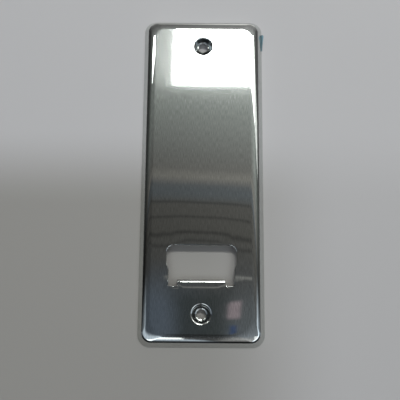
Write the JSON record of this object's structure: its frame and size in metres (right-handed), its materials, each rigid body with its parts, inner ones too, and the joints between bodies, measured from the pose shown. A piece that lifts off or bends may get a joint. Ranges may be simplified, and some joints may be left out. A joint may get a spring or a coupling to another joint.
{
  "type": "strap winder cover plate",
  "caption": "Long shallow stainless cover plate with rounded corners, dimpled screw seats near its ends and a strap opening with a turned-down lip.",
  "frame": {"origin": "middle of the wall plane, on which the rim rests, halfway between the screw seats", "axes": "+Z out of the face, +Y along the plate away from the strap opening, +X across the plate"},
  "size_m": [0.0615, 0.166, 0.005],
  "materials": {
    "brushed_stainless": "bright stainless sheet with a very fine grain along its length and polished bends",
    "protective_film": "thin blue-green protective film, torn and slightly translucent"
  },
  "bodies": {
    "root": {"cover_plate": "brushed_stainless", "film_remnant": "protective_film"}
  },
  "joints": []
}
